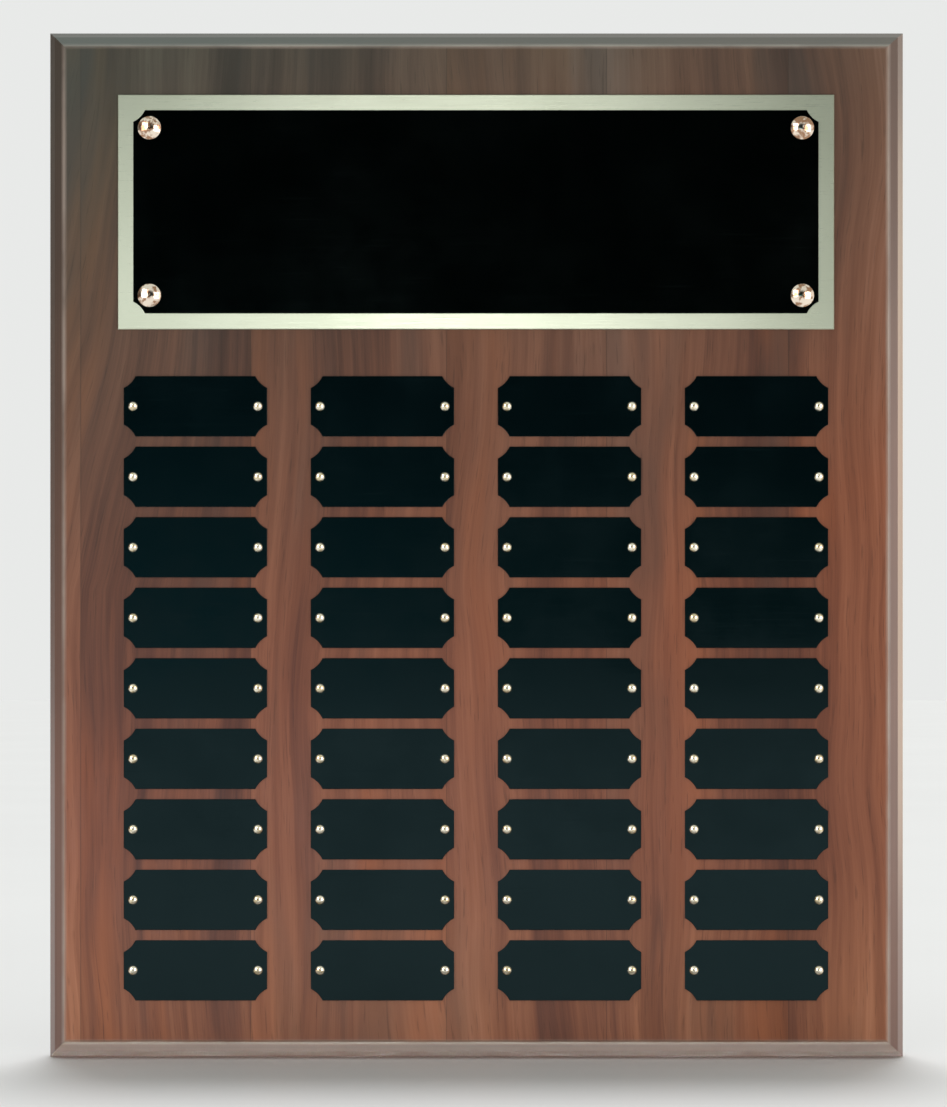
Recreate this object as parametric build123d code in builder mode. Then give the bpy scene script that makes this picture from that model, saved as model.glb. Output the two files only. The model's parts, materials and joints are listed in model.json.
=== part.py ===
from build123d import *
from math import sqrt
import os

# Perpetual award plaque: a bevelled walnut-finish board with a framed header plate
# and a grid of small name plates, each held by two pins. Millimetres.
#
# Frame: the origin is the centre of the back face, which lies against the wall.
# +X is to the right and +Z is up for someone facing the plaque; the front looks along -Y.

# Board: a fibreboard core between a walnut face veneer and a backing laminate.
BOARD_WIDTH = 381.0
BOARD_HEIGHT = 457.2
BOARD_THICKNESS = 19.05
SKIN_THICKNESS = 0.8

# Moulded edge, from the face outwards: a shallow bevel, a steep slope, then the square side.
BEVEL_WIDTH = 5.7
BEVEL_DEPTH = 5.0
SLOPE_WIDTH = 2.9
SLOPE_DEPTH = 5.5
ARRIS_RADIUS = 0.9
BACK_ARRIS_RADIUS = 0.5

# Header: a satin brass backing plate with a black plate on it, both held by four tacks.
BACKING_WIDTH = 317.5
BACKING_HEIGHT = 104.0
BACKING_THICKNESS = 0.9
HEADER_MARGIN = 7.0
HEADER_THICKNESS = 0.8
HEADER_CENTRE_Z = 147.1
TACK_INSET_X = 7.2
TACK_INSET_Z = 7.9

# Name plates: four columns of nine.
COLUMNS = 4
ROWS = 9
COLUMN_PITCH = 82.9
ROW_PITCH = 31.25
GRID_CENTRE_Z = -64.0
PLATE_WIDTH = 63.5
PLATE_HEIGHT = 26.7
PLATE_THICKNESS = 0.6
PIN_SPACING = 55.4

# Notches at the corners of the black plates: a shallow hollow curve across each corner.
NOTCH_LEG = 5.2
NOTCH_RADIUS = 11.0

# Domed tacks and pins.
TACK_HEAD_RADIUS = 5.15
TACK_HEAD_HEIGHT = 2.6
TACK_RIM_HEIGHT = 0.4
TACK_SHANK_RADIUS = 0.9
TACK_SHANK_LENGTH = 13.0
PIN_HEAD_RADIUS = 2.1
PIN_HEAD_HEIGHT = 1.5
PIN_RIM_HEIGHT = 0.25
PIN_SHANK_RADIUS = 0.65
PIN_SHANK_LENGTH = 9.5
POINT_LENGTH = 1.5
SHANK_CLEARANCE = 0.05
PLATE_ARRIS = 0.15

# Keyhole hangers, let in flush with the back face over a routed pocket.
HANGER_SPACING = 254.0
HANGER_CENTRE_Z = 190.0
HANGER_WIDTH = 16.0
HANGER_LENGTH = 41.0
HANGER_THICKNESS = 1.5
HANGER_CLEARANCE = 0.15
ENTRY_RADIUS = 4.75
SLOT_WIDTH = 5.0
SLOT_RISE = 9.0
POCKET_WIDTH = 12.5
POCKET_LENGTH = 25.0
POCKET_DEPTH = 10.5
SCREW_SPACING = 33.0
SCREW_HEAD_RADIUS = 2.9
SCREW_HEAD_HEIGHT = 1.4
SCREW_SHANK_RADIUS = 1.4
SCREW_LENGTH = 12.0
SCREW_HOLE_RADIUS = 1.6
DRIVE_SLOT_WIDTH = 0.8
DRIVE_SLOT_LENGTH = 3.6
DRIVE_SLOT_DEPTH = 0.7

# Worked out from the values above.
SIDE_THICKNESS = BOARD_THICKNESS - BEVEL_DEPTH - SLOPE_DEPTH
SHOULDER_DEPTH = SIDE_THICKNESS + SLOPE_DEPTH
CORE_FRONT = BOARD_THICKNESS - SKIN_THICKNESS
BACKING_FRONT = BOARD_THICKNESS + BACKING_THICKNESS
HEADER_FRONT = BACKING_FRONT + HEADER_THICKNESS
PLATE_FRONT = BOARD_THICKNESS + PLATE_THICKNESS
HEADER_WIDTH = BACKING_WIDTH - 2 * HEADER_MARGIN
HEADER_HEIGHT = BACKING_HEIGHT - 2 * HEADER_MARGIN
NOTCH_OUTSET = (sqrt(2 * NOTCH_RADIUS**2 - NOTCH_LEG**2) - NOTCH_LEG) / 2
TACK_SPACING_X = HEADER_WIDTH - 2 * TACK_INSET_X
TACK_SPACING_Z = HEADER_HEIGHT - 2 * TACK_INSET_Z
TACK_HOLE_RADIUS = TACK_SHANK_RADIUS + SHANK_CLEARANCE
PIN_HOLE_RADIUS = PIN_SHANK_RADIUS + SHANK_CLEARANCE
SCREW_PILOT_RADIUS = SCREW_SHANK_RADIUS + SHANK_CLEARANCE
PILOT_EXTRA_DEPTH = 0.5
ENTRY_Z = HANGER_CENTRE_Z - SLOT_RISE / 2


def layer(depth):
    """Sketch plane at a depth in front of the back face: local x is +X, local y is +Z."""
    return Plane.XZ.offset(depth)


def export(node, name):
    """Labels a finished piece and writes it as its own STEP."""
    node.part.label = name
    export_step(node.part, f"parts/{name}.step")


def column_x(column):
    """Centre of a column of name plates; column 1 is the left one."""
    return (column - (COLUMNS + 1) / 2) * COLUMN_PITCH


def row_z(row):
    """Centre of a row of name plates; row 1 is the top one."""
    return GRID_CENTRE_Z - (row - (ROWS + 1) / 2) * ROW_PITCH


def moulded_section(plane, width):
    """Section across the board with its arrises eased: local x is its width, -y its depth."""
    shoulder = width / 2 - SLOPE_WIDTH
    face = shoulder - BEVEL_WIDTH
    with BuildSketch(plane) as section:
        with BuildLine():
            Polyline(
                (-width / 2, 0),
                (width / 2, 0),
                (width / 2, -SIDE_THICKNESS),
                (shoulder, -SHOULDER_DEPTH),
                (face, -BOARD_THICKNESS),
                (-face, -BOARD_THICKNESS),
                (-shoulder, -SHOULDER_DEPTH),
                (-width / 2, -SIDE_THICKNESS),
                (-width / 2, 0),
            )
        make_face()
        corner_levels = section.vertices().group_by(Axis.Y)
        fillet(corner_levels[-1], BACK_ARRIS_RADIUS)
        for level in corner_levels[:-1]:
            fillet(level, ARRIS_RADIUS)
    return section.sketch


def board_blank():
    """The whole board with its moulded edge mitred at the corners, before it is parted."""
    across = moulded_section(Plane.XY, BOARD_WIDTH)
    facing_left = Plane(origin=(0, 0, 0), x_dir=(0, 0, 1), z_dir=(-1, 0, 0))
    upright = moulded_section(facing_left, BOARD_HEIGHT)
    with BuildPart() as blank:
        extrude(across, amount=BOARD_HEIGHT / 2, both=True)
        extrude(upright, amount=BOARD_WIDTH / 2, both=True, mode=Mode.INTERSECT)
    return blank.part


def make_board_core(blank):
    """Fibreboard core: pilot holes from the front, hanger pockets and recesses from the back."""
    with BuildPart() as core:
        add(blank)
        split(bisect_by=layer(CORE_FRONT), keep=Keep.BOTTOM)
        split(bisect_by=layer(SKIN_THICKNESS), keep=Keep.TOP)
        with BuildSketch(layer(CORE_FRONT)):
            tack_circles(TACK_HOLE_RADIUS)
        tack_depth = TACK_SHANK_LENGTH - (HEADER_FRONT - CORE_FRONT) + PILOT_EXTRA_DEPTH
        extrude(amount=-tack_depth, mode=Mode.SUBTRACT)
        with BuildSketch(layer(CORE_FRONT)):
            pin_circles(PIN_HOLE_RADIUS)
        pin_depth = PIN_SHANK_LENGTH - (PLATE_FRONT - CORE_FRONT) + PILOT_EXTRA_DEPTH
        extrude(amount=-pin_depth, mode=Mode.SUBTRACT)
        with BuildSketch(layer(SKIN_THICKNESS)):
            hanger_outlines(HANGER_CLEARANCE)
        extrude(amount=HANGER_THICKNESS - SKIN_THICKNESS, mode=Mode.SUBTRACT)
        with BuildSketch(layer(SKIN_THICKNESS)):
            pocket_outlines()
        extrude(amount=POCKET_DEPTH - SKIN_THICKNESS, mode=Mode.SUBTRACT)
        with BuildSketch(layer(SKIN_THICKNESS)):
            screw_circles(SCREW_PILOT_RADIUS)
        screw_depth = SCREW_LENGTH - SKIN_THICKNESS + PILOT_EXTRA_DEPTH
        extrude(amount=screw_depth, mode=Mode.SUBTRACT)
    return core


def make_face_veneer(blank):
    """Walnut veneer on the face; the bevel is cut through its edge."""
    with BuildPart() as veneer:
        add(blank)
        split(bisect_by=layer(CORE_FRONT), keep=Keep.TOP)
        with BuildSketch(layer(CORE_FRONT)):
            tack_circles(TACK_HOLE_RADIUS)
            pin_circles(PIN_HOLE_RADIUS)
        extrude(amount=SKIN_THICKNESS, mode=Mode.SUBTRACT)
    return veneer


def make_back_laminate(blank):
    """Backing laminate with a cut-out for each hanger."""
    with BuildPart() as laminate:
        add(blank)
        split(bisect_by=layer(SKIN_THICKNESS), keep=Keep.BOTTOM)
        with BuildSketch(layer(0)):
            hanger_outlines(HANGER_CLEARANCE)
        extrude(amount=SKIN_THICKNESS, mode=Mode.SUBTRACT)
    return laminate


def tack_circles(radius, mode=Mode.ADD):
    """A circle at each header tack, added to the sketch or cut out of it."""
    with Locations((0, HEADER_CENTRE_Z)):
        with GridLocations(TACK_SPACING_X, TACK_SPACING_Z, 2, 2):
            Circle(radius, mode=mode)


def pin_circles(radius):
    """Two circles on every name plate, one for each pin."""
    with Locations((0, GRID_CENTRE_Z)):
        with GridLocations(COLUMN_PITCH, ROW_PITCH, COLUMNS, ROWS):
            with GridLocations(PIN_SPACING, 1, 2, 1):
                Circle(radius)


def screw_circles(radius):
    """A circle at each hanger screw."""
    with Locations((0, HANGER_CENTRE_Z)):
        with GridLocations(HANGER_SPACING, SCREW_SPACING, 2, 2):
            Circle(radius)


def hanger_outlines(clearance):
    """Both hangers' round-ended outlines, grown by a clearance."""
    with Locations((0, HANGER_CENTRE_Z)):
        with GridLocations(HANGER_SPACING, 1, 2, 1):
            SlotOverall(HANGER_LENGTH + 2 * clearance, HANGER_WIDTH + 2 * clearance, rotation=90)


def pocket_outlines():
    """The routed pockets that take a wall screw's head behind each hanger."""
    with Locations((0, HANGER_CENTRE_Z)):
        with GridLocations(HANGER_SPACING, 1, 2, 1):
            SlotOverall(POCKET_LENGTH, POCKET_WIDTH, rotation=90)


def make_header_backing():
    """Satin brass backing plate that shows as a border round the black header plate."""
    with BuildPart() as backing:
        with BuildSketch(layer(BOARD_THICKNESS)):
            with Locations((0, HEADER_CENTRE_Z)):
                Rectangle(BACKING_WIDTH, BACKING_HEIGHT)
            tack_circles(TACK_HOLE_RADIUS, Mode.SUBTRACT)
        extrude(amount=BACKING_THICKNESS)
        front_rim = backing.faces().sort_by(Axis.Y)[0].outer_wire().edges()
        chamfer(front_rim, 2 * PLATE_ARRIS)
    return backing


def make_header_plate():
    """Black header plate with a hollow notch at each corner."""
    with BuildPart() as header:
        with BuildSketch(layer(BACKING_FRONT)):
            notched_outline(0, HEADER_CENTRE_Z, HEADER_WIDTH, HEADER_HEIGHT)
            tack_circles(TACK_HOLE_RADIUS, Mode.SUBTRACT)
        extrude(amount=HEADER_THICKNESS)
        front_rim = header.faces().sort_by(Axis.Y)[0].outer_wire().edges()
        chamfer(front_rim, PLATE_ARRIS)
    return header


def notched_outline(x, z, width, height):
    """A rectangle centred on x, z with a hollow notch at each corner."""
    with Locations((x, z)):
        Rectangle(width, height)
        with GridLocations(width + 2 * NOTCH_OUTSET, height + 2 * NOTCH_OUTSET, 2, 2):
            Circle(NOTCH_RADIUS, mode=Mode.SUBTRACT)


def make_nameplate(column, row):
    """One black name plate with its two pin holes."""
    x = column_x(column)
    z = row_z(row)
    with BuildPart() as plate:
        with BuildSketch(layer(BOARD_THICKNESS)):
            notched_outline(x, z, PLATE_WIDTH, PLATE_HEIGHT)
            with Locations((x, z)):
                with GridLocations(PIN_SPACING, 1, 2, 1):
                    Circle(PIN_HOLE_RADIUS, mode=Mode.SUBTRACT)
        extrude(amount=PLATE_THICKNESS)
        front_rim = plate.faces().sort_by(Axis.Y)[0].outer_wire().edges()
        chamfer(front_rim, PLATE_ARRIS)
    return plate


def domed_nail(head_radius, head_height, rim_height, shank_radius, shank_length):
    """A round domed nail on the Y axis: its head's seat is at y = 0 and its point is at +Y."""
    with BuildPart() as nail:
        with BuildSketch(Plane.YZ):
            with BuildLine():
                TangentArc((-head_height, 0), (-rim_height, head_radius), tangent=(0, 1))
                Polyline(
                    (-rim_height, head_radius),
                    (0, head_radius),
                    (0, shank_radius),
                    (shank_length - POINT_LENGTH, shank_radius),
                    (shank_length, 0),
                    (-head_height, 0),
                )
            make_face()
        revolve(axis=Axis.Y)
    return nail.part


def make_header_tacks():
    """The four domed brass tacks at the corners of the header plate."""
    tack = domed_nail(
        TACK_HEAD_RADIUS,
        TACK_HEAD_HEIGHT,
        TACK_RIM_HEIGHT,
        TACK_SHANK_RADIUS,
        TACK_SHANK_LENGTH,
    )
    places = [
        (x, -HEADER_FRONT, HEADER_CENTRE_Z + z)
        for x in (-TACK_SPACING_X / 2, TACK_SPACING_X / 2)
        for z in (-TACK_SPACING_Z / 2, TACK_SPACING_Z / 2)
    ]
    with BuildPart() as tacks:
        with Locations(*places):
            add(tack)
    return tacks


def make_pins(column):
    """The two pins of every name plate in one column."""
    pin = domed_nail(
        PIN_HEAD_RADIUS,
        PIN_HEAD_HEIGHT,
        PIN_RIM_HEIGHT,
        PIN_SHANK_RADIUS,
        PIN_SHANK_LENGTH,
    )
    places = [
        (column_x(column) + side * PIN_SPACING / 2, -PLATE_FRONT, row_z(row))
        for row in range(1, ROWS + 1)
        for side in (-1, 1)
    ]
    with BuildPart() as pins:
        with Locations(*places):
            add(pin)
    return pins


def make_hanger(x):
    """Steel keyhole plate: a round entry with a narrower slot rising from it."""
    with BuildPart() as hanger:
        with BuildSketch(layer(0)):
            with Locations((x, HANGER_CENTRE_Z)):
                SlotOverall(HANGER_LENGTH, HANGER_WIDTH, rotation=90)
                SlotCenterToCenter(SLOT_RISE, SLOT_WIDTH, rotation=90, mode=Mode.SUBTRACT)
            with Locations((x, ENTRY_Z)):
                Circle(ENTRY_RADIUS, mode=Mode.SUBTRACT)
        extrude(amount=HANGER_THICKNESS)
        back_face = Plane(origin=(x, 0, HANGER_CENTRE_Z), x_dir=(1, 0, 0), z_dir=(0, 1, 0))
        with Locations(back_face):
            with GridLocations(1, SCREW_SPACING, 1, 2):
                CounterSinkHole(
                    SCREW_HOLE_RADIUS, SCREW_HEAD_RADIUS + SHANK_CLEARANCE, HANGER_THICKNESS
                )
    return hanger


def hanger_screw():
    """Countersunk screw on the Y axis: its head is flush with y = 0 and its point is at -Y."""
    with BuildPart() as screw:
        with BuildSketch(Plane.YZ):
            with BuildLine():
                Polyline(
                    (0, 0),
                    (0, SCREW_HEAD_RADIUS),
                    (-SCREW_HEAD_HEIGHT, SCREW_SHANK_RADIUS),
                    (-SCREW_LENGTH + POINT_LENGTH, SCREW_SHANK_RADIUS),
                    (-SCREW_LENGTH, 0),
                    (0, 0),
                )
            make_face()
        revolve(axis=Axis.Y)
        with BuildSketch(layer(0)):
            Rectangle(DRIVE_SLOT_LENGTH, DRIVE_SLOT_WIDTH)
            Rectangle(DRIVE_SLOT_WIDTH, DRIVE_SLOT_LENGTH)
        extrude(amount=DRIVE_SLOT_DEPTH, mode=Mode.SUBTRACT)
    return screw.part


def make_hanger_screws():
    """The two screws of each hanger."""
    screw = hanger_screw()
    places = [
        (x, 0, HANGER_CENTRE_Z + z)
        for x in (-HANGER_SPACING / 2, HANGER_SPACING / 2)
        for z in (-SCREW_SPACING / 2, SCREW_SPACING / 2)
    ]
    with BuildPart() as screws:
        with Locations(*places):
            add(screw)
    return screws


os.makedirs("parts", exist_ok=True)

blank = board_blank()
export(make_board_core(blank), "board_core")
export(make_face_veneer(blank), "face_veneer")
export(make_back_laminate(blank), "back_laminate")
export(make_header_backing(), "header_backing_plate")
export(make_header_plate(), "header_plate")
export(make_header_tacks(), "header_tacks")
for column in range(1, COLUMNS + 1):
    for row in range(1, ROWS + 1):
        export(make_nameplate(column, row), f"nameplate_r{row}_c{column}")
    export(make_pins(column), f"nameplate_pins_column_{column}")
export(make_hanger(-HANGER_SPACING / 2), "keyhole_hanger_left")
export(make_hanger(HANGER_SPACING / 2), "keyhole_hanger_right")
export(make_hanger_screws(), "hanger_screws")
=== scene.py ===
import bmesh
import bpy
import json
import math
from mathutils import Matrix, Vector


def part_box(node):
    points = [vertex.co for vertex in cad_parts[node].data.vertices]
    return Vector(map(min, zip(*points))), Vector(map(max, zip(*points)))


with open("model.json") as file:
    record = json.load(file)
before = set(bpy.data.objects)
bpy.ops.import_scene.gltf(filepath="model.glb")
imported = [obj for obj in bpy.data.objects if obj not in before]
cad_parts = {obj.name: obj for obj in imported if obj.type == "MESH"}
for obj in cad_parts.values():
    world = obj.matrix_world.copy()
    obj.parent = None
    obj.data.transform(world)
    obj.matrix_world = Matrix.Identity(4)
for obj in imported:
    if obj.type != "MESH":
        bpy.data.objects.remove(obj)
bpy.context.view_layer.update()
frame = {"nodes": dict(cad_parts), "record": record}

# The plaque stands on a pale floor and faces -Y. Metres throughout, in the frame of the CAD.
MM = 0.001
FLOOR_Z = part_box("board_core")[0].z
FACE_LOW, FACE_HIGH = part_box("face_veneer")

# Linear colours of the walnut: its tones from dark to light, its patches and its fine marks.
WALNUT_TONES = [
    (0.0, (0.070, 0.021, 0.013)),
    (0.25, (0.140, 0.043, 0.024)),
    (0.5, (0.235, 0.075, 0.038)),
    (0.75, (0.335, 0.115, 0.058)),
    (1.0, (0.440, 0.170, 0.095)),
]
ORANGE_PATCH = (0.395, 0.112, 0.042)
ASHEN_PATCH = (0.125, 0.062, 0.043)
GROWTH_LINE = (0.060, 0.022, 0.014)
PORE = (0.045, 0.018, 0.011)
SEAM = (0.040, 0.018, 0.012)
STRIP_SCALE = 14.0

# A painted highlight along the rim of the face: its colour, and how far to each side of the rim it
# reaches.
ARRIS_HIGHLIGHT = (0.46, 0.36, 0.30)
ARRIS_HIGHLIGHT_REACH = 1.6 * MM


# ---------------------------------------------------------------- node helpers


class Shader:
    """A material whose nodes are made by short calls; a value given as a socket is linked."""

    def __init__(self, name):
        self.material = bpy.data.materials.new(name)
        self.material.use_nodes = True
        self.tree = self.material.node_tree
        self.tree.nodes.clear()
        self.output = self.tree.nodes.new("ShaderNodeOutputMaterial")
        coordinates = self.tree.nodes.new("ShaderNodeTexCoord")
        self.place = coordinates.outputs["Object"]

    def node(self, kind, inputs=None, **settings):
        made = self.tree.nodes.new(kind)
        for key, value in settings.items():
            setattr(made, key, value)
        for key, value in (inputs or {}).items():
            self.feed(made.inputs[key], value)
        return made

    def feed(self, socket, value):
        if isinstance(value, bpy.types.NodeSocket):
            self.tree.links.new(value, socket)
        else:
            socket.default_value = value

    def math(self, operation, first, second=0.0):
        made = self.node("ShaderNodeMath", operation=operation)
        self.feed(made.inputs[0], first)
        self.feed(made.inputs[1], second)
        return made.outputs[0]

    def scaled(self, vector, scale):
        """The vector times a factor on each axis."""
        made = self.node("ShaderNodeVectorMath", operation="MULTIPLY")
        self.feed(made.inputs[0], vector)
        made.inputs[1].default_value = scale
        return made.outputs[0]

    def plus(self, vector, other):
        made = self.node("ShaderNodeVectorMath", operation="ADD")
        self.feed(made.inputs[0], vector)
        self.feed(made.inputs[1], other)
        return made.outputs[0]

    def split(self, vector):
        return self.node("ShaderNodeSeparateXYZ", {"Vector": vector}).outputs

    def join(self, x, y, z):
        return self.node("ShaderNodeCombineXYZ", {"X": x, "Y": y, "Z": z}).outputs[0]

    def noise(self, vector, scale, detail, roughness):
        inputs = {"Vector": vector, "Scale": scale, "Detail": detail, "Roughness": roughness}
        return self.node("ShaderNodeTexNoise", inputs).outputs["Fac"]

    def stretched(self, scales, detail, roughness):
        """Noise with its own scale along each axis of the board."""
        return self.noise(self.scaled(self.place, scales), 1.0, detail, roughness)

    def ramp(self, factor, stops):
        """A colour ramp through (position, colour) stops."""
        made = self.node("ShaderNodeValToRGB", {"Fac": factor})
        elements = made.color_ramp.elements
        while len(elements) < len(stops):
            elements.new(0.5)
        for element, (position, colour) in zip(elements, stops):
            element.position = position
            element.color = opaque(colour)
        return made.outputs["Color"]

    def mix(self, factor, first, second, blend="MIX"):
        made = self.node("ShaderNodeMix", data_type="RGBA", blend_type=blend)
        self.feed(made.inputs["Factor"], factor)
        self.feed(made.inputs[6], opaque(first))
        self.feed(made.inputs[7], opaque(second))
        return made.outputs[2]

    def spread(self, value, low, high, to_low=0.0, to_high=1.0):
        """Maps low..high to to_low..to_high and clamps."""
        inputs = {1: low, 2: high, 3: to_low, 4: to_high}
        made = self.node("ShaderNodeMapRange", clamp=True)
        self.feed(made.inputs[0], value)
        for key, number in inputs.items():
            self.feed(made.inputs[key], number)
        return made.outputs[0]

    def bump(self, height, distance, strength=1.0, normal=None):
        inputs = {"Height": height, "Distance": distance, "Strength": strength}
        if normal is not None:
            inputs["Normal"] = normal
        return self.node("ShaderNodeBump", inputs).outputs[0]

    def surface(self, **inputs):
        """The Principled shader, its inputs named as in Blender with underscores for spaces.
        Plain values are set on its own sockets."""
        shader = self.node("ShaderNodeBsdfPrincipled")
        for key, value in inputs.items():
            socket = shader.inputs[key.replace("_", " ")]
            if key in ("Base_Color", "Specular_Tint"):
                value = opaque(value)
            self.feed(socket, value)
        self.tree.links.new(shader.outputs[0], self.output.inputs["Surface"])
        return self.material


def opaque(colour):
    """A colour with alpha 1, or the socket itself."""
    if isinstance(colour, bpy.types.NodeSocket):
        return colour
    return (*colour[:3], 1.0)


# ---------------------------------------------------------------- materials


def grain(shader, place, across, along, detail=3.0, roughness=0.55, seed=0.0):
    """Noise drawn out up the board, from its scales across the grain and along it."""
    moved = shader.plus(place, (seed, seed, seed))
    return shader.noise(shader.scaled(moved, (across, across, along)), 1.0, detail, roughness)


def leaning(shader, place):
    """The place moved sideways, so that the grain sways, and leans over at the upper left."""
    x, _, z = shader.split(place)
    wave = grain(shader, place, across=7.0, along=4.0, detail=2.0)
    sway = shader.spread(wave, 0.0, 1.0, -0.022, 0.022)
    zone = shader.spread(x, -0.07, -0.17)
    rise = shader.math("MAXIMUM", shader.math("ADD", z, 0.02), 0.0)
    lean = shader.math("MULTIPLY", shader.math("MULTIPLY", zone, rise), -0.22)
    return shader.plus(place, shader.join(shader.math("ADD", sway, lean), 0.0, 0.0))


def strips(shader, place, feature):
    """Strips of veneer of uneven width side by side."""
    made = shader.node("ShaderNodeTexVoronoi", voronoi_dimensions="1D", feature=feature)
    shader.feed(made.inputs["W"], shader.split(place)[0])
    made.inputs["Scale"].default_value = STRIP_SCALE
    made.inputs["Randomness"].default_value = 0.85
    return made.outputs


def walnut_colour(shader, place):
    """Walnut figure running up the board: strips of veneer, broad bands, streaks and fibres,
    thin growth lines, orange and grey patches. Returns the colour and a height that falls in
    the pores, lines and seams."""
    strip = shader.split(strips(shader, place, "F1")["Color"])
    edge = strips(shader, place, "DISTANCE_TO_EDGE")["Distance"]
    seam = shader.spread(edge, 0.0, 0.005, 1.0, 0.0)
    shift = shader.join(
        shader.math("MULTIPLY", strip[0], 0.02), 0.0, shader.math("MULTIPLY", strip[1], 0.3)
    )
    local = shader.plus(leaning(shader, place), shift)

    broad = grain(shader, local, across=20.0, along=1.6, detail=2.0, roughness=0.5, seed=8.0)
    band = grain(shader, local, across=75.0, along=2.4, seed=3.0)
    streak = grain(shader, local, across=260.0, along=6.0, roughness=0.6, seed=5.0)
    fibre = grain(shader, local, across=1100.0, along=26.0, detail=2.0, roughness=0.6)
    tone = broad
    for layer, weight in ((band, 0.62), (streak, 0.39), (fibre, 0.17), (strip[2], 0.16)):
        tone = shader.math("ADD", tone, shader.math("MULTIPLY", layer, weight))
    colour = shader.ramp(shader.spread(tone, 0.87, 1.49), WALNUT_TONES)

    warm = grain(shader, local, across=34.0, along=3.6, seed=11.0)
    colour = shader.mix(shader.spread(warm, 0.52, 0.68, 0.0, 0.60), colour, ORANGE_PATCH)
    cold = grain(shader, local, across=26.0, along=4.2, seed=17.0)
    colour = shader.mix(shader.spread(cold, 0.54, 0.68, 0.0, 0.55), colour, ASHEN_PATCH)

    contour = grain(shader, local, across=30.0, along=1.1, detail=2.0, roughness=0.45, seed=23.0)
    rings = shader.math("PINGPONG", contour, 0.055)
    zone = grain(shader, local, across=20.0, along=3.0, detail=2.0, roughness=0.5, seed=29.0)
    lines = shader.math(
        "MULTIPLY", shader.spread(rings, 0.0, 0.006, 1.0, 0.0), shader.spread(zone, 0.48, 0.60)
    )
    speckle = grain(shader, local, across=1500.0, along=70.0, detail=1.0, roughness=0.5)
    pores = shader.spread(speckle, 0.64, 0.72)
    marks = ((lines, 0.45, GROWTH_LINE), (pores, 0.30, PORE), (seam, 0.50, SEAM))
    for mark, strength, dark in marks:
        colour = shader.mix(shader.math("MULTIPLY", mark, strength), colour, dark)
    dips = shader.math("MAXIMUM", pores, shader.math("MAXIMUM", seam, lines))
    height = shader.math("SUBTRACT", shader.math("MULTIPLY", fibre, 0.25), dips)
    return colour, height


def painted_shade_and_sheen(shader, colour, tint, sheen_colour):
    """Painted shade and sheen: the colour, times a tint and under a painted haze of sheen, both
    coming in towards the board's top left.
    """
    x, _, z = shader.split(shader.place)
    rise = shader.math("SUBTRACT", z, shader.math("MULTIPLY", x, 0.33))
    drift = shader.stretched((14.0, 14.0, 5.0), 3.0, 0.5)
    rise = shader.math("ADD", rise, shader.math("MULTIPLY", drift, 0.10))
    sheen_mask = shader.spread(rise, 0.01, 0.32, 0.0, 1.0)
    # Painted shade and sheen towards the top left.
    shaded_and_sheened = shader.mix(0.45, shader.mix(1.0, colour, tint, "MULTIPLY"), sheen_colour)
    return shader.mix(sheen_mask, colour, shaded_and_sheened)


def painted_arris_highlight(shader, colour):
    """The colour with a painted highlight: paler in a broken line along the rim of the face."""
    x, _, z = shader.split(shader.place)
    beside = shader.math("SUBTRACT", shader.math("ABSOLUTE", x), FACE_HIGH.x)
    above = shader.math("SUBTRACT", shader.math("ABSOLUTE", z), FACE_HIGH.z)
    away = shader.math("ABSOLUTE", shader.math("MAXIMUM", beside, above))
    highlight_breaks = shader.noise(shader.place, 24.0, 4.0, 0.6)
    line = shader.math(
        "MULTIPLY",
        shader.spread(away, 0.0, ARRIS_HIGHLIGHT_REACH, 0.80, 0.0),
        shader.spread(highlight_breaks, 0.35, 0.6, 0.45, 1.0),
    )
    # Painted highlight along the rim of the face.
    return shader.mix(line, colour, ARRIS_HIGHLIGHT)


def painted_light_at_foot(shader, colour):
    """The colour with painted light: paler and more tan in a band at the foot of the board."""
    height = shader.split(shader.place)[2]
    foot_light = shader.spread(height, -0.14, -0.205, 0.0, 1.0)
    # Painted light: brighter towards the foot of the board.
    return shader.mix(foot_light, colour, (1.26, 1.38, 1.32), "MULTIPLY")


def walnut_veneer():
    """Open-pored walnut under satin lacquer, with painted shade and sheen towards its top left,
    painted light at its foot and a painted highlight along its rim.
    """
    shader = Shader("walnut_veneer")
    colour, height = walnut_colour(shader, shader.place)
    # Painted shade and sheen at the top left, painted light at the foot, painted highlight at the
    # rim.
    colour = painted_shade_and_sheen(shader, colour, tint=(0.42, 1.10, 1.65), sheen_colour=(0.104, 0.100, 0.077))
    colour = painted_light_at_foot(shader, colour)
    colour = painted_arris_highlight(shader, colour)
    gloss = shader.stretched((60.0, 60.0, 12.0), 3.0, 0.6)
    return shader.surface(
        Base_Color=colour,
        Roughness=shader.spread(gloss, 0.3, 0.7, 0.34, 0.46),
        Normal=shader.bump(height, 0.05 * MM, 0.35),
        Specular_IOR_Level=0.30,
    )


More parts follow.
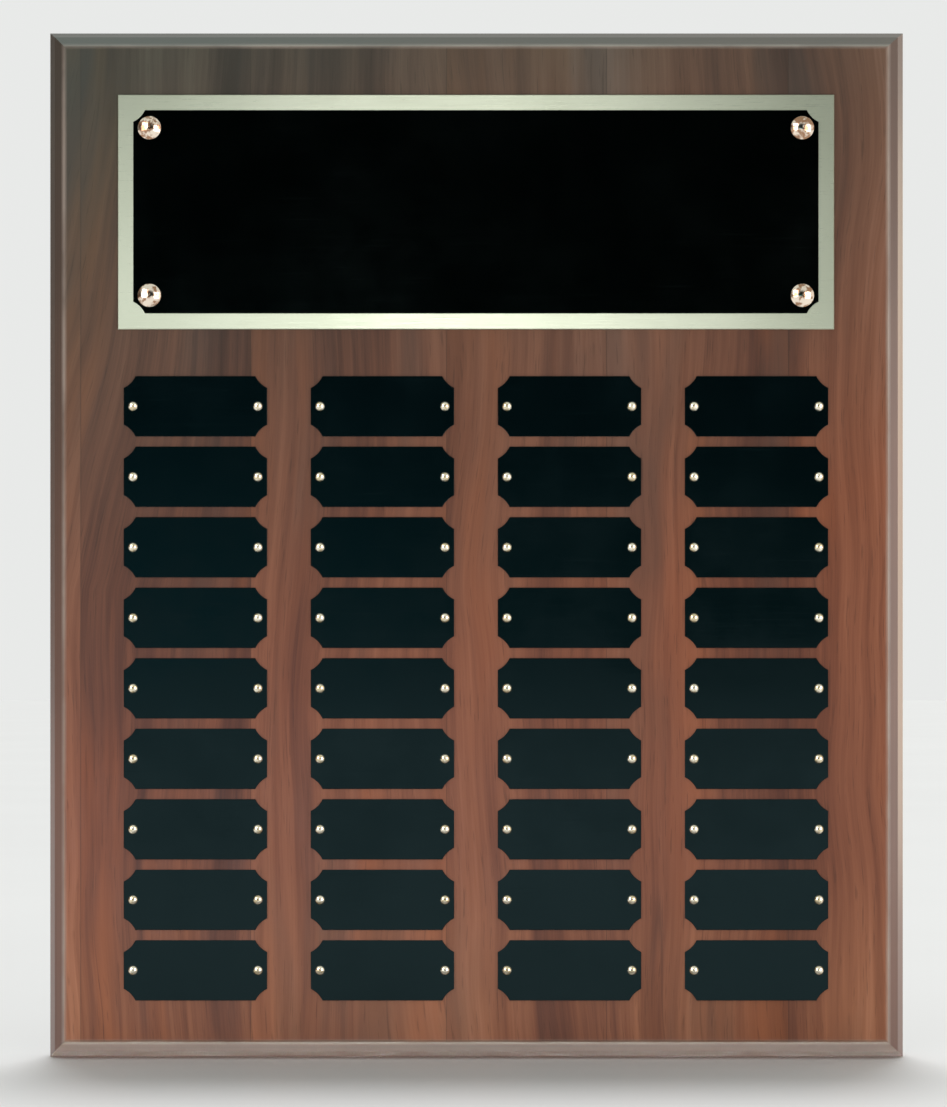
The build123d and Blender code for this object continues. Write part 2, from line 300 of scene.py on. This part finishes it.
def lacquered_edge():
    """The moulded edge: fibreboard stained to walnut and lacquered, with streaks that run along
    each side of the board, painted shade and sheen towards the top left and a painted highlight at
    its arris."""
    shader = Shader("lacquered_edge")
    x, _, z = shader.split(shader.node("ShaderNodeNewGeometry").outputs["Normal"])
    is_level = shader.math("GREATER_THAN", shader.math("ABSOLUTE", z), shader.math("ABSOLUTE", x))
    along_x = shader.stretched((5.0, 900.0, 900.0), 3.0, 0.6)
    along_z = shader.stretched((900.0, 900.0, 5.0), 3.0, 0.6)
    streak = shader.mix(is_level, along_z, along_x)
    cloud = shader.noise(shader.place, 11.0, 3.0, 0.5)
    stain = shader.ramp(
        cloud, [(0.3, (0.165, 0.066, 0.040)), (0.7, (0.205, 0.084, 0.052))]
    )
    stain = shader.mix(shader.spread(streak, 0.3, 0.7, 0.0, 0.45), stain, (0.10, 0.046, 0.031))
    # Painted shade and sheen at the top left and a painted highlight at the arris.
    stain = painted_shade_and_sheen(shader, stain, tint=(0.40, 0.70, 0.75), sheen_colour=(0.062, 0.044, 0.034))
    stain = painted_arris_highlight(shader, stain)
    return shader.surface(
        Base_Color=stain,
        Roughness=shader.spread(streak, 0.3, 0.7, 0.30, 0.38),
        Normal=shader.bump(streak, 0.002 * MM, 0.06),
        Specular_IOR_Level=0.5,
        Coat_Weight=0.5,
        Coat_Roughness=0.26,
    )


def backing_laminate():
    """Dark brown backing paper over the fibreboard, finely flecked, with a few scuffs."""
    shader = Shader("backing_laminate")
    cloud = shader.noise(shader.place, 9.0, 3.0, 0.5)
    fleck = shader.stretched((900.0, 900.0, 260.0), 4.0, 0.65)
    fibre = shader.stretched((420.0, 420.0, 22.0), 4.0, 0.6)
    scuff = shader.stretched((30.0, 30.0, 190.0), 5.0, 0.7)
    colour = shader.ramp(
        fibre, [(0.3, (0.062, 0.036, 0.024)), (0.7, (0.088, 0.053, 0.036))]
    )
    colour = shader.mix(shader.spread(cloud, 0.35, 0.65, 0.0, 0.25), colour, (0.055, 0.032, 0.022))
    colour = shader.mix(shader.spread(fleck, 0.55, 0.72, 0.0, 0.45), colour, (0.150, 0.100, 0.072))
    colour = shader.mix(shader.spread(scuff, 0.66, 0.80, 0.0, 0.40), colour, (0.190, 0.145, 0.115))
    return shader.surface(
        Base_Color=colour,
        Roughness=shader.spread(fleck, 0.3, 0.7, 0.55, 0.75),
        Normal=shader.bump(fleck, 0.05 * MM, 0.6),
    )


def satin_brass():
    """Pale brass brushed along its length and lacquered."""
    shader = Shader("satin_brass")
    brushed = shader.stretched((45.0, 600.0, 5200.0), 3.0, 0.65)
    cloud = shader.noise(shader.place, 9.0, 3.0, 0.5)
    colour = shader.ramp(
        cloud, [(0.3, (0.58, 0.62, 0.47)), (0.7, (0.74, 0.77, 0.62))]
    )
    colour = shader.mix(shader.spread(brushed, 0.3, 0.7, 0.0, 0.22), colour, (0.42, 0.42, 0.30))
    return shader.surface(
        Base_Color=colour,
        Metallic=1.0,
        Roughness=shader.spread(brushed, 0.25, 0.75, 0.25, 0.36),
        Normal=shader.bump(brushed, 0.012 * MM, 0.5),
    )


def black_brass(name, colour, speck, tint):
    """Gloss black lacquer with a faint orange peel, hairlines and dust."""
    shader = Shader(name)
    peel = shader.noise(shader.place, 420.0, 2.0, 0.5)
    hairline = shader.stretched((30.0, 30.0, 3200.0), 2.0, 0.5)
    dust = shader.noise(shader.place, 2600.0, 1.0, 0.5)
    smear = shader.noise(shader.place, 26.0, 4.0, 0.6)
    colour = shader.mix(shader.spread(dust, 0.72, 0.80, 0.0, 0.5), colour, speck)
    roughness = shader.math(
        "ADD",
        shader.spread(smear, 0.35, 0.75, 0.10, 0.22),
        shader.spread(hairline, 0.60, 0.75, 0.0, 0.08),
    )
    return shader.surface(
        Base_Color=colour,
        Roughness=roughness,
        Normal=shader.bump(peel, 0.006 * MM, 0.3),
        Specular_IOR_Level=0.35,
        Specular_Tint=tint,
    )


def polished_metal(name, colour, dark, roughness, patches):
    """Polished plated metal, a little beaten, with fine scratches and dark patches that are partly
    tarnish and partly painted dark reflection.
    """
    shader = Shader(name)
    tarnish_and_reflection = shader.noise(shader.place, patches, 3.0, 0.55)
    beaten = shader.noise(shader.place, 330.0, 1.0, 0.5)
    scratch = shader.stretched((900.0, 900.0, 5200.0), 2.0, 0.5)
    # Dark patches: partly tarnish, partly a painted dark reflection.
    tint = shader.mix(shader.spread(tarnish_and_reflection, 0.45, 0.56, 0.0, 0.90), colour, dark)
    normal = shader.bump(beaten, 0.12 * MM, 0.8)
    return shader.surface(
        Base_Color=tint,
        Metallic=1.0,
        Roughness=shader.spread(tarnish_and_reflection, 0.3, 0.8, roughness, roughness + 0.12),
        Normal=shader.bump(scratch, 0.006 * MM, 0.35, normal),
    )


def zinc_plate(name, colour, dark):
    """Zinc-plated steel, spangled and slightly dull."""
    shader = Shader(name)
    spangle = shader.node("ShaderNodeTexVoronoi", {"Vector": shader.place, "Scale": 900.0})
    cloud = shader.noise(shader.place, 160.0, 4.0, 0.6)
    tint = shader.mix(shader.spread(cloud, 0.4, 0.75, 0.0, 0.7), colour, dark)
    tint = shader.mix(0.10, tint, spangle.outputs["Color"], "MULTIPLY")
    return shader.surface(
        Base_Color=tint,
        Metallic=1.0,
        Roughness=shader.spread(cloud, 0.3, 0.7, 0.28, 0.45),
        Normal=shader.bump(cloud, 0.02 * MM, 0.3),
    )


def dress(materials):
    """Gives every CAD node the material of its slot."""
    for subpart in frame["record"]["subparts"]:
        mesh = frame["nodes"][subpart["node"]].data
        mesh.materials.clear()
        mesh.materials.append(materials[subpart["material_slot"]])


# ---------------------------------------------------------------- stage


def pale_floor():
    """A wide pale floor under the plaque."""
    half_width = 12.0
    mesh = bpy.data.meshes.new("floor")
    shape = bmesh.new()
    bmesh.ops.create_grid(shape, x_segments=4, y_segments=4, size=half_width)
    shape.to_mesh(mesh)
    shape.free()
    floor = bpy.data.objects.new("floor", mesh)
    floor.location.z = FLOOR_Z
    bpy.context.scene.collection.objects.link(floor)
    shader = Shader("floor_paint")
    cloud = shader.noise(shader.place, 3.0, 3.0, 0.5)
    colour = shader.ramp(cloud, [(0.3, (0.780, 0.775, 0.785)), (0.7, (0.800, 0.795, 0.805))])
    mesh.materials.append(shader.surface(Base_Color=colour, Roughness=0.55))
    return floor


def soft_light(name, place, target, size, watts, colour, only, blockers=None):
    """A rectangular soft box that the camera doesn't see and that lights some objects only. With
    blockers, nothing else casts its shadow, and it is sampled as a light only, because a bounced
    ray would stop at what doesn't block it and its gloss would be lost."""
    data = bpy.data.lights.new(name, "AREA")
    data.shape = "RECTANGLE"
    data.size, data.size_y = size
    data.energy = watts
    data.color = colour
    light = bpy.data.objects.new(name, data)
    light.location = place
    aim = Vector(target) - Vector(place)
    light.rotation_euler = aim.to_track_quat("-Z", "Y").to_euler()
    light.visible_camera = False
    bpy.context.scene.collection.objects.link(light)
    light.light_linking.receiver_collection = grouped(name + "_lights", only)
    if blockers:
        data.cycles.use_multiple_importance_sampling = False
        light.light_linking.blocker_collection = grouped(name + "_blockers", blockers)


def grouped(name, objects):
    """A collection of some objects, for light linking."""
    group = bpy.data.collections.new(name)
    for member in objects:
        group.objects.link(member)
    return group


def lobe(tree, component, low, high, first, second):
    """A colour that changes smoothly as one part of the view direction goes from low to high."""
    step = tree.nodes.new("ShaderNodeMapRange")
    step.interpolation_type = "SMOOTHSTEP"
    step.inputs[1].default_value = low
    step.inputs[2].default_value = high
    tree.links.new(component, step.inputs[0])
    blend = tree.nodes.new("ShaderNodeMix")
    blend.data_type = "RGBA"
    tree.links.new(step.outputs[0], blend.inputs["Factor"])
    for socket, colour in ((blend.inputs[6], first), (blend.inputs[7], second)):
        if isinstance(colour, bpy.types.NodeSocket):
            tree.links.new(colour, socket)
        else:
            socket.default_value = (*colour, 1)
    return blend.outputs[2]


def studio_world():
    """Plain pale surroundings to look at. What the plaque mirrors is dim in front and to the
    left, so that gloss black stays black, and brighter above and to the right."""
    world = bpy.data.worlds.new("studio")
    world.use_nodes = True
    tree = world.node_tree
    tree.nodes.clear()
    direction = tree.nodes.new("ShaderNodeTexCoord").outputs["Generated"]
    parts = tree.nodes.new("ShaderNodeSeparateXYZ")
    tree.links.new(direction, parts.inputs[0])
    x, y, z = parts.outputs
    front = lobe(tree, x, -0.16, 0.06, (0.10, 0.34, 0.38), (0.04, 0.12, 0.12))
    front = lobe(tree, z, 0.01, 0.11, front, (0.004, 0.010, 0.010))
    around = lobe(tree, x, -0.2, 0.8, (0.18, 0.17, 0.155), (0.85, 0.80, 0.74))
    around = lobe(tree, z, 0.25, 0.80, around, (0.67, 0.71, 0.68))
    mirrored = lobe(tree, y, -0.95, -0.70, front, around)
    path = tree.nodes.new("ShaderNodeLightPath")
    seen = lobe(tree, path.outputs["Is Camera Ray"], 0.0, 1.0, mirrored, (0.81, 0.82, 0.81))
    background = tree.nodes.new("ShaderNodeBackground")
    tree.links.new(seen, background.inputs["Color"])
    output = tree.nodes.new("ShaderNodeOutputWorld")
    tree.links.new(background.outputs[0], output.inputs["Surface"])
    bpy.context.scene.world = world


def camera():
    """Square to the face, a little to the right of its centre and below it. The lens is shifted so
    that a point close to that centre is in the middle of the picture."""
    sensor_mm = 36.0
    distance = 1.30
    aside, below = 0.032, 0.052
    centre_right, centre_up = 1.1 * MM, 4.2 * MM
    view_height = 490.8 * MM
    data = bpy.data.cameras.new("camera")
    data.sensor_width = sensor_mm
    data.lens = sensor_mm * distance / view_height
    data.shift_x = -(aside + centre_right) / view_height
    data.shift_y = (below - centre_up) / view_height
    view = bpy.data.objects.new("camera", data)
    view.location = (aside, FACE_LOW.y - distance, -below)
    view.rotation_euler = (math.radians(90), 0, 0)
    bpy.context.scene.collection.objects.link(view)
    bpy.context.scene.camera = view


def floor_sun(floor):
    """Even light on the floor alone, from above and a little behind, with a soft shadow."""
    data = bpy.data.lights.new("floor_sun", "SUN")
    data.energy = 1.75
    data.angle = math.radians(13)
    light = bpy.data.objects.new("floor_sun", data)
    light.rotation_euler = (math.radians(-13), 0, 0)
    bpy.context.scene.collection.objects.link(light)
    light.light_linking.receiver_collection = grouped("floor_sun_lights", [floor])


def lights():
    """Soft boxes low in front for the wood, behind for the back, round the board for its moulded
    edge, and in front for the bright metal alone to mirror."""
    nodes = frame["nodes"]
    wood = [nodes[name] for name in ("board_core", "face_veneer", "back_laminate")]
    edge = [nodes["board_core"]]
    back = [nodes["back_laminate"]]
    brass = [nodes["header_backing_plate"]]
    nails = [nodes[name] for name in nodes if "pins" in name or "tacks" in name]
    warm = (1.0, 0.97, 0.93)
    cool = (0.93, 0.94, 1.0)
    amber = (1.0, 0.81, 0.58)
    green = (0.62, 1.0, 0.94)
    pale_green = (0.91, 1.0, 0.94)
    white = (1.0, 1.0, 1.0)
    middle = (0, 0, 0)
    header = (0, 0, 0.147)
    bottom = (0, -0.02, FLOOR_Z)

    # name, place, target, width and height, watts, colour, what it lights, what casts shadows
    soft_light("face_box", (-0.30, -0.62, -0.28), (-0.08, 0, -0.12), (1.0, 0.25), 5.0, cool, wood)
    soft_light("back_box", (0.4, 2.0, 0.9), middle, (2.6, 2.6), 30, warm, back)
    soft_light("right_back_box", (1.1, 0.75, -0.15), (0, 0, -0.1), (0.5, 1.1), 3, amber, wood)
    soft_light("right_box", (1.0, -0.02, 0), middle, (0.8, 0.5), 1.4, warm, edge)
    soft_light("top_box", (0, 0.1, 1.1), middle, (1.2, 0.6), 1.4, green, edge)
    soft_light("under_box", (0, -0.05, -1.0), bottom, (1.2, 0.6), 4.4, pale_green, edge, edge)
    soft_light("low_back_box", (0, 0.5, -0.9), bottom, (1.2, 0.9), 2.6, pale_green, edge, edge)
    soft_light("brass_low", (-0.05, -1.3, 0.21), header, (0.12, 0.10), 0.45, white, brass)
    soft_light("brass_high", (-0.05, -1.3, 0.45), header, (0.3, 0.12), 0.35, white, brass)
    soft_light("brass_fill", (-0.4, -1.3, -0.03), header, (1.6, 0.8), 3.6, white, brass)
    soft_light("nail_box_left", (-0.9, -0.9, 0.5), middle, (0.9, 1.2), 14, warm, nails)
    soft_light("nail_box_right", (0.9, -0.9, 0.1), middle, (0.9, 1.2), 14, warm, nails)


# ---------------------------------------------------------------- making

bpy.context.scene.view_settings.view_transform = "Standard"
dress(
    {
        "walnut_veneer": walnut_veneer(),
        "lacquered_edge": lacquered_edge(),
        "backing_laminate": backing_laminate(),
        "satin_brass": satin_brass(),
        "black_header": black_brass(
            "black_header",
            colour=(0.0003, 0.0006, 0.0005),
            speck=(0.004, 0.006, 0.006),
            tint=(0.75, 0.90, 0.85),
        ),
        "black_nameplate": black_brass(
            "black_nameplate",
            colour=(0.0006, 0.0036, 0.0045),
            speck=(0.010, 0.020, 0.022),
            tint=(0.52, 0.92, 1.0),
        ),
        "polished_brass": polished_metal(
            "polished_brass",
            colour=(0.98, 0.84, 0.70),
            dark=(0.36, 0.17, 0.08),
            roughness=0.09,
            patches=380.0,
        ),
        "pin_brass": polished_metal(
            "pin_brass",
            colour=(0.95, 0.88, 0.72),
            dark=(0.70, 0.58, 0.36),
            roughness=0.16,
            patches=420.0,
        ),
        "zinc_steel": zinc_plate(
            "zinc_steel", colour=(0.62, 0.63, 0.62), dark=(0.40, 0.41, 0.42)
        ),
        "screw_steel": zinc_plate(
            "screw_steel", colour=(0.66, 0.60, 0.44), dark=(0.42, 0.36, 0.24)
        ),
    }
)
studio_world()
floor_sun(pale_floor())
lights()
camera()
